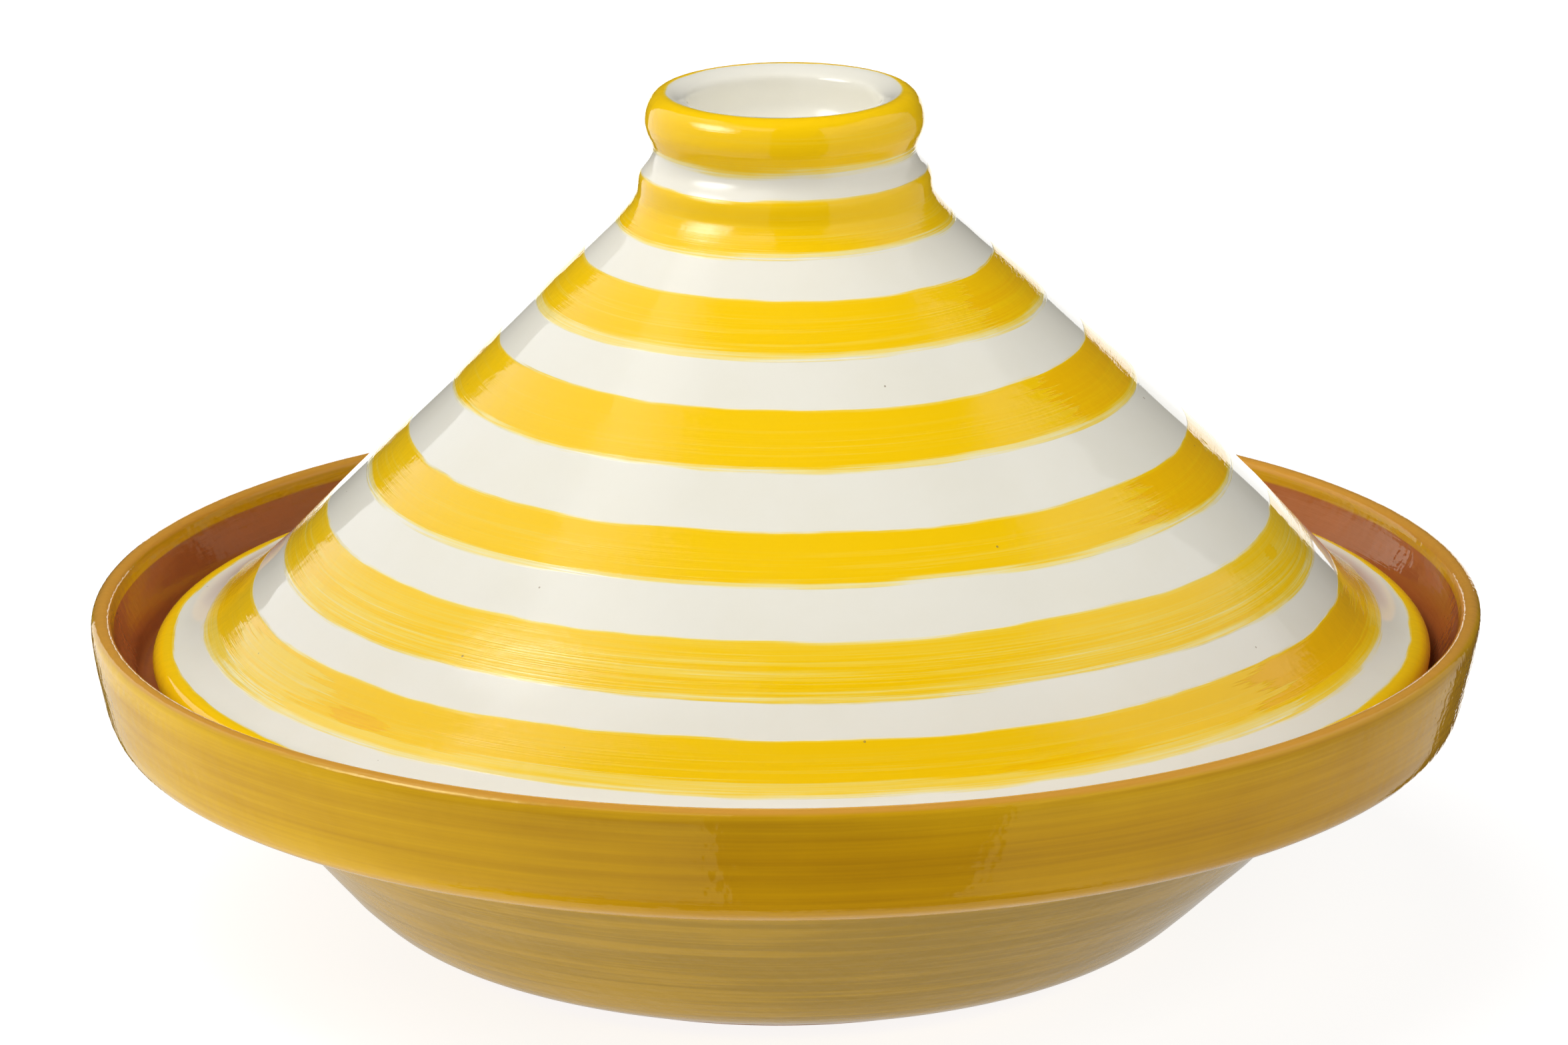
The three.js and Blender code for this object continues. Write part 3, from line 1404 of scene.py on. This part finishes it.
@dataclass
class Lid:
    """The lid: a flange with a rolled rim, a long cone, and a cup thrown on as its knob.

    Attributes:
        base: Height of the rim's underside, in millimetres.
        wall: Thickness of the cone, measured level.
        mouth: Radius of the cup's mouth.
        cone_rings: Rings of vertices up the cone.
        cup_rings: Rings of vertices up the cup.
    """

    base: float = 63.0
    wall: float = 9.0
    mouth: float = 21.9
    cone_rings: int = 205
    cup_rings: int = 160

    NECK = (33.9, 174.8)
    LEAN = [(63, 1.6), (72, 1.8), (86, 3.0), (100, 3.4), (113, 3.35), (127, 2.9), (141, 2.1),
            (150, 1.6), (162, 0.9), (175, 0.3), (198, 0.1)]
    RINGS = (
        PaintedRing((147.0, 65.4), (142.3, 71.5), 1.05, 0.25, 0.0, (-40.0, 10.0), 0.1),
        PaintedRing((135.5, 73.9), (124.4, 83.5), 0.98, 0.7, 0.30, (55.0, 86.0), 0.7),
        PaintedRing((118.1, 90.0), (107.9, 100.9), 0.82, 1.3, 0.0, (-95.0, -73.0), 0.14),
        PaintedRing((99.0, 109.8), (88.9, 119.8), 1.0, 0.6, 0.12, (56.0, 88.0), 0.5),
        PaintedRing((78.2, 130.2), (66.6, 141.5), 1.0, 0.5, 0.10, (56.0, 90.0), 0.5),
        PaintedRing((57.7, 150.2), (46.5, 160.9), 0.98, 0.65, 0.14, (54.0, 88.0), 0.35),
        PaintedRing((38.8, 168.4), (32.6, 180.3), 0.98, 0.7, 0.10, (-70.0, -50.0), 0.1),
        PaintedRing((30.3, 185.4), (26.8, 198.2), 1.0, 0.45, 0.08, (60.0, 75.0), 0.12),
    )
    DROPS = (
        PaintDrop((129.0, 79.2), -66.0, 6.5, 13.0, -0.38),
        PaintDrop((131.0, 78.0), -47.0, 1.9, 4.5, 0.5),
        PaintDrop((132.3, 76.8), 28.0, 1.8, 8.0, 0.3),
        PaintDrop((111.0, 97.5), 74.0, 1.6, 2.0, 0.4),
    )

    def outline(self) -> Outline:
        """Draw the whole lid, from inside its top, round the rim, and up into the cup.

        Returns:
            The outline.
        """
        inner = [(0, 166.8), (10, 166.4), (20, 165.0), (30, 161.4), (51.8 - self.wall, 152.6),
                 (84.3 - self.wall, 122.8), (108.2 - self.wall, 100.2), (121.4 - self.wall, 85.6),
                 (124.5, 73.6), (131.0, 68.2), (135.4, 65.2)]
        rim = [(136.6, 63.6), (138.0, self.base), (141.5, self.base), (144.0, self.base + 0.2),
               (146.0, 64.6), (147.0, 67.0), (146.6, 69.2), (145.2, 70.8), (143.4, 71.5), (141.6, 71.5)]
        cone = [(138.8, 72.2), (135.1, 74.1), (131.6, 76.6), (128.3, 79.6), (124.9, 83.0),
                (121.4, 86.5), (115.0, 93.4), (108.2, 100.7), (96.6, 112.3), (84.3, 124.3),
                (68.1, 140.1), (51.8, 155.9), (43.5, 163.7), (39.0, 168.0), (36.0, 171.4)]
        cup = [self.NECK, (33.5, 177.0), (33.2, 179.0), (32.4, 180.6), (31.2, 182.1), (30.4, 183.7),
               (30.2, 185.2), (30.4, 186.6), (31.0, 188.2), (31.6, 189.8), (31.85, 191.4),
               (31.7, 193.0), (31.3, 194.8), (30.7, 196.2), (29.8, 197.3), (28.5, 198.1), (27.2, 198.3),
               (25.6, 198.0), (24.0, 197.4), (self.mouth + 0.5, 196.6), (self.mouth, 195.6),
               (21.5, 193.4), (20.3, 188.4), (16.0, 183.2), (9.0, 181.2), (4.0, 181.0), (0, 181.0)]
        return Outline.drawn([*inner, *rim, *cone, *cup], softness=0.55)

    def make(self) -> list[bpy.types.Object]:
        """Throw the two parts of the lid and paint them as one.

        Returns:
            The cone and the cup.
        """
        outline = self.outline()
        glaze = StripedGlaze(outline, self.RINGS, self.DROPS, (142.0, self.base)).material("striped_glaze")
        wheel = Wheel(ovality=0.0003, tilt=0.008, ring_depth=0.00024, ring_pitch=130.0)
        counts = (self.cone_rings, self.cup_rings)
        pieces = []
        for part, node, rings in zip(outline.parted(self.NECK), ("lid_cone", "lid_knob_cup"), counts):
            line = part.mesh(node + "_line", rings, self.LEAN)
            piece = wheel.throw(node + "_thrown", line, glaze, seed=7.0)
            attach(piece, Body.LID.value)
            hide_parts(node)
            pieces.append(piece)
        return pieces


# ------------------------------------------------------------------ studio


@dataclass(frozen=True)
class Bank:
    """A curved, upright light bank that only the glaze's reflections show.

    Attributes:
        start: Azimuth of its near end, in degrees from the camera's side.
        end: Azimuth of its far end, halfway up to its distance.
        slant: Degrees that the far end draws in for each unit of height.
        low: Height of its bottom, as a share of its distance.
        high: Height of its top, where it has faded out.
        table_power: Brightness well below the table's level.
        near_power: Brightness above that, near the camera's side.
        far_power: Brightness at the far end.
        box_power: Brightness of the box on top of it.
        box_low: Height where the box begins.
        box_fade: Height where it begins to fade towards the top.
    """

    start: float
    end: float
    slant: float
    low: float
    high: float
    table_power: float
    near_power: float
    far_power: float
    box_power: float
    box_low: float
    box_fade: float

    PANELS = 48  # flat panels round the curve
    MIDDLE = 0.5  # height where the far end is not drawn in
    NEAR_TURN, FAR_TURN = 0.98, 0.98 + 1.46  # azimuths of the near and far brightness, radians
    TABLE_LEVEL = (-0.26, -0.12)  # heights where the table's brightness ends
    BOX_EDGE = 0.03  # half the height over which the box begins

    def power(self, graph: Graph, reach: float) -> Socket:
        """Work out its brightness at each point.

        Args:
            graph: Its material's graph.
            reach: Its distance from the pot, in metres.

        Returns:
            The brightness.
        """
        x, y, height = graph.split(graph.add("ShaderNodeTexCoord").outputs["Object"])
        level = graph.math("DIVIDE", height, reach)
        turn = graph.math("ABSOLUTE", graph.math("ARCTAN2", x, graph.times(y, -1.0)))
        span = self.FAR_TURN - self.NEAR_TURN
        side = graph.math("DIVIDE", graph.plus(turn, -self.NEAR_TURN), span, clamp=True)
        power = graph.scaled(side, self.far_power - self.near_power, self.near_power)
        table = graph.ramp(level, *self.TABLE_LEVEL, 1.0, 0.0)
        power = graph.scaled(table, graph.minus(self.table_power, power), power)
        box = graph.ramp(level, self.box_fade, self.high, self.box_power, 0.0)
        above = graph.ramp(level, self.box_low - self.BOX_EDGE, self.box_low + self.BOX_EDGE)
        return graph.plus(power, graph.times(above, graph.minus(box, power)))

    def shape(self, reach: float) -> tuple[list[Point], list[tuple[int, ...]]]:
        """Bend it round the pot.

        Args:
            reach: Its distance from the pot, in metres.

        Returns:
            Its points and faces.
        """
        count = self.PANELS
        points = []
        for edge in (self.low, self.high):
            end = self.end - math.copysign(self.slant, self.end) * (edge - self.MIDDLE)
            for i in range(count + 1):
                a = math.radians(self.start + (end - self.start) * i / count)
                points.append((reach * math.sin(a), -reach * math.cos(a), reach * edge))
        return points, [(i, i + 1, count + 2 + i, count + 1 + i) for i in range(count)]


@dataclass(frozen=True)
class Window:
    """A small bright source whose highlight shows on the bead, the neck and the lip.

    Attributes:
        azimuth: Degrees from the camera's side, to the right.
        elevation: Degrees above the table.
        distance: From the pot, in metres.
        core: Radius of its bright middle, before it is stretched, in metres.
        radius: Where it has faded out.
        stretch: How much wider and lower than round it is.
        strength: Its brightness.
    """

    azimuth: float = -68.0
    elevation: float = 37.0
    distance: float = 1.0
    core: float = 0.02
    radius: float = 0.33
    stretch: Pair = (1.4, 0.85)
    strength: float = 11.0


@dataclass(frozen=True)
class Lamp:
    """A soft square light that leaves no reflection.

    Attributes:
        azimuth: Degrees from the camera's side, to the right.
        elevation: Degrees above the table.
        distance: From the pot, in metres.
        size: Its width, in metres.
        strength: How brightly it lights a white surface that faces it.
    """

    azimuth: float
    elevation: float
    distance: float
    size: float
    strength: float


@dataclass
class Studio:
    """A white table between curved light banks, and a long-lens camera.

    Attributes:
        reach: Distance from the pot to the light banks, in metres.
        lens: The camera's focal length, in millimetres.
        distance: From the camera to its aim, in metres.
        elevation: Of the camera, in degrees.
        aim: Height that the camera looks at, in metres.
        table_radius: Radius of the part of the table that shows in the glaze, in metres.
        horizon: Radius of the whole floor.
    """

    reach: float = 1.1
    lens: float = 188.8
    distance: float = 1.891
    elevation: float = 16.4
    aim: float = 0.0961
    table_radius: float = 0.17
    horizon: float = 12.0

    BANKS = {
        "left_bank": Bank(-12.0, -136.5, 20.0, -1.4, 2.5, 0.68, 0.30, 1.10, 1.45, 1.12, 1.1),
        "right_bank": Bank(34.0, 125.0, 18.0, -1.4, 1.6, 0.58, 0.42, 0.40, 0.72, 0.45, 1.15),
        "back_bank": Bank(156.0, 197.0, 0.0, -1.4, 0.17, 1.5, 1.5, 1.5, 1.5, 0.10, 0.16),
    }
    LAMPS = {
        "overhead": Lamp(-60.0, 75.0, 1.6, 1.0, 0.46),
        "key": Lamp(-85.0, 50.0, 1.5, 1.0, 0.50),
        "fill": Lamp(44.0, 30.0, 1.5, 1.0, 0.42),
        "low_side": Lamp(-78.0, -45.0, 1.2, 0.7, 0.62),
    }
    ROOM = (0.95, 0.97, 1.0)
    ROOM_LIGHT = 0.03
    TABLE = (0.3, 0.3, 0.3)
    TABLE_SHOWN = (0.12, 0.7, 0.86, 1.0)  # two distances, and how white it looks at them
    TABLE_GIVES = (0.15, 1.2, 0.45, 0.8)  # two distances, and the light that it gives at them

    def make(self) -> None:
        """Set up the whole studio."""
        self._camera()
        self._world()
        self._table()
        for name, bank in self.BANKS.items():
            light, graph, emission = self._glow_material(name)
            graph.feed(emission.inputs["Strength"], bank.power(graph, self.reach))
            self._only_reflected(self._prop(name, *bank.shape(self.reach), light))
        self._window(Window())
        for name, lamp in self.LAMPS.items():
            self._lamp(name, lamp)

    def _camera(self) -> None:
        """Place the camera in front of the pot."""
        data = bpy.data.cameras.new("camera")
        data.lens = self.lens
        data.sensor_width = 36.0
        data.clip_end = 50.0
        camera = bpy.data.objects.new("camera", data)
        tilt = math.radians(self.elevation)
        away = Vector((0, -math.cos(tilt), math.sin(tilt)))
        camera.location = Vector((0, 0, self.aim)) + self.distance * away
        camera.rotation_euler = (math.pi / 2 - tilt, 0, 0)
        bpy.context.scene.collection.objects.link(camera)
        bpy.context.scene.camera = camera

    def _world(self) -> None:
        """Make a room that is white to the eye but lights the pot only a little."""
        world = bpy.data.worlds.new("room")
        world.use_nodes = True
        graph = Graph(world.node_tree)
        shown = world.node_tree.nodes["Background"]
        shown.inputs["Color"].default_value = (1.0, 1.0, 1.0, 1.0)
        shown.inputs["Strength"].default_value = 1.0
        dim = graph.add("ShaderNodeBackground")
        dim.inputs["Color"].default_value = (*self.ROOM, 1.0)
        dim.inputs["Strength"].default_value = self.ROOM_LIGHT
        seen = graph.add("ShaderNodeLightPath").outputs["Is Camera Ray"]
        mixed = graph.shaders(seen, dim.outputs[0], shown.outputs[0])
        graph.feed(world.node_tree.nodes["World Output"].inputs["Surface"], mixed)
        bpy.context.scene.world = world
        bpy.context.scene.view_settings.view_transform = "Standard"

    def _table(self) -> None:
        """Lay a white table top round the pot, and carry the same white on to the horizon."""
        white, graph, shader = new_material("table_white", (0.9, 0.9, 0.9))
        shader.inputs["Base Color"].default_value = (*self.TABLE, 1.0)
        shader.inputs["Roughness"].default_value = 0.9
        shader.inputs["Specular IOR Level"].default_value = 0.0
        x, y, _ = graph.split(graph.add("ShaderNodeTexCoord").outputs["Object"])
        away = graph.distance(x, y)
        seen = graph.add("ShaderNodeLightPath").outputs["Is Camera Ray"]
        shown = graph.ramp(away, *self.TABLE_SHOWN)
        given = graph.ramp(away, *self.TABLE_GIVES)
        glow = graph.scaled(seen, graph.minus(shown, given), given)
        graph.feed(shader.inputs["Emission Color"], graph.vector(glow, glow, glow))
        shader.inputs["Emission Strength"].default_value = 1.0
        top = self._disc("table_top", 0.0, self.table_radius, white)
        floor = self._disc("floor", self.table_radius, self.horizon, white)
        floor.visible_glossy = False
        for part in (top, floor):
            part.visible_shadow = False

    def _disc(self, name: str, inner: float, outer: float,
              material: bpy.types.Material) -> bpy.types.Object:
        """Lay a disc or a flat ring on the ground.

        Args:
            name: Its name.
            inner: Radius of its hole, or 0 for none.
            outer: Its radius.
            material: Its finish.

        Returns:
            The disc.
        """
        count = 96
        turns = [math.tau * i / count for i in range(count)]
        rims = (inner, outer) if inner else (outer,)
        points = [(radius * math.cos(a), radius * math.sin(a), 0.0) for radius in rims for a in turns]
        if inner:
            faces = [(i, count + i, count + (i + 1) % count, (i + 1) % count) for i in range(count)]
        else:
            faces = [tuple(range(count))]
        return self._prop(name, points, faces, material)

    @staticmethod
    def _prop(name: str, points: list[Point], faces: list[tuple[int, ...]],
              material: bpy.types.Material) -> bpy.types.Object:
        """Make a plain mesh of the studio's own.

        Args:
            name: Its name.
            points: Its points, in metres.
            faces: The points of each face.
            material: Its finish.

        Returns:
            The object.
        """
        mesh = bpy.data.meshes.new(name)
        mesh.from_pydata(points, [], faces)
        mesh.materials.append(material)
        prop = bpy.data.objects.new(name, mesh)
        bpy.context.scene.collection.objects.link(prop)
        return prop

    @staticmethod
    def _glow_material(name: str) -> tuple[bpy.types.Material, Graph, Node]:
        """Start a light's material.

        Args:
            name: Its name.

        Returns:
            The material, its graph and its Emission shader.
        """
        material = bpy.data.materials.new(name)
        material.use_nodes = True
        graph = Graph(material.node_tree)
        emission = graph.add("ShaderNodeEmission")
        graph.feed(material.node_tree.nodes["Material Output"].inputs["Surface"], emission.outputs[0])
        return material, graph, emission

    @staticmethod
    def _only_reflected(prop: bpy.types.Object) -> None:
        """Hide a light from everything but reflections.

        Args:
            prop: The light.
        """
        prop.visible_camera = False
        prop.visible_diffuse = False
        prop.visible_shadow = False

    def _window(self, window: Window) -> None:
        """Hang the window.

        Args:
            window: Its sizes.
        """
        light, graph, emission = self._glow_material("window")
        emission.inputs["Strength"].default_value = window.strength
        x, y, _ = graph.split(graph.add("ShaderNodeTexCoord").outputs["Object"])
        soft = graph.ramp(graph.distance(x, y), window.core, window.radius, 1.0, 0.0)
        clear = graph.add("ShaderNodeBsdfTransparent").outputs[0]
        mixed = graph.shaders(soft, clear, emission.outputs[0])
        graph.feed(light.node_tree.nodes["Material Output"].inputs["Surface"], mixed)
        half = window.radius
        points = [(-half, -half, 0.0), (half, -half, 0.0), (half, half, 0.0), (-half, half, 0.0)]
        prop = self._prop("window", points, [(0, 1, 2, 3)], light)
        prop.location = self._spot(window.azimuth, window.elevation, window.distance)
        prop.rotation_euler = self._facing(prop.location)
        prop.scale = (*window.stretch, 1.0)
        self._only_reflected(prop)

    def _lamp(self, name: str, lamp: Lamp) -> None:
        """Hang one soft light.

        Args:
            name: Its name.
            lamp: Its sizes.
        """
        data = bpy.data.lights.new(name, "AREA")
        data.size = lamp.size
        data.energy = math.pi ** 2 * lamp.strength * lamp.distance ** 2
        light = bpy.data.objects.new(name, data)
        light.location = self._spot(lamp.azimuth, lamp.elevation, lamp.distance)
        light.rotation_euler = self._facing(light.location)
        light.visible_glossy = False
        bpy.context.scene.collection.objects.link(light)

    def _spot(self, azimuth: float, elevation: float, distance: float) -> Vector:
        """Find a place round the pot.

        Args:
            azimuth: Degrees from the camera's side, to the right.
            elevation: Degrees above the table.
            distance: From the camera's aim, in metres.

        Returns:
            The place.
        """
        turn, rise = math.radians(azimuth), math.radians(elevation)
        level = distance * math.cos(rise)
        return Vector((level * math.sin(turn), -level * math.cos(turn),
                       self.aim + distance * math.sin(rise)))

    def _facing(self, place: Vector) -> Euler:
        """The turn that faces a light at a place towards the pot."""
        return (Vector((0, 0, self.aim)) - place).to_track_quat("-Z", "Y").to_euler()


# ------------------------------------------------------------------ main


def corners(box: object) -> list[list[float]]:
    """A bounding box as plain lists of numbers."""
    return [[float(value) for value in corner] for corner in box]


def report(piece: bpy.types.Object) -> None:
    """Log a piece's triangles and volume, which shows that its faces point outwards.

    Args:
        piece: The piece.
    """
    mesh = piece.data
    mesh.calc_loop_triangles()
    points = np.array([v.co for v in mesh.vertices])
    triangles = np.array([t.vertices for t in mesh.loop_triangles])
    a, b, c = (points[triangles[:, i]] for i in range(3))
    volume = float(np.einsum("ij,ij->i", a, np.cross(b, c)).sum() / 6)
    log.info("%s: %d triangles, %.0f cm3", piece.name, len(triangles), volume * 1e6)


def main() -> None:
    """Build the pot and its studio."""
    logging.basicConfig(level=logging.INFO, format="%(name)s: %(message)s")
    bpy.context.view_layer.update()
    Studio().make()
    for maker in (Dish(), Lid()):
        for piece in maker.make():
            report(piece)


if __name__ == "__main__":
    main()
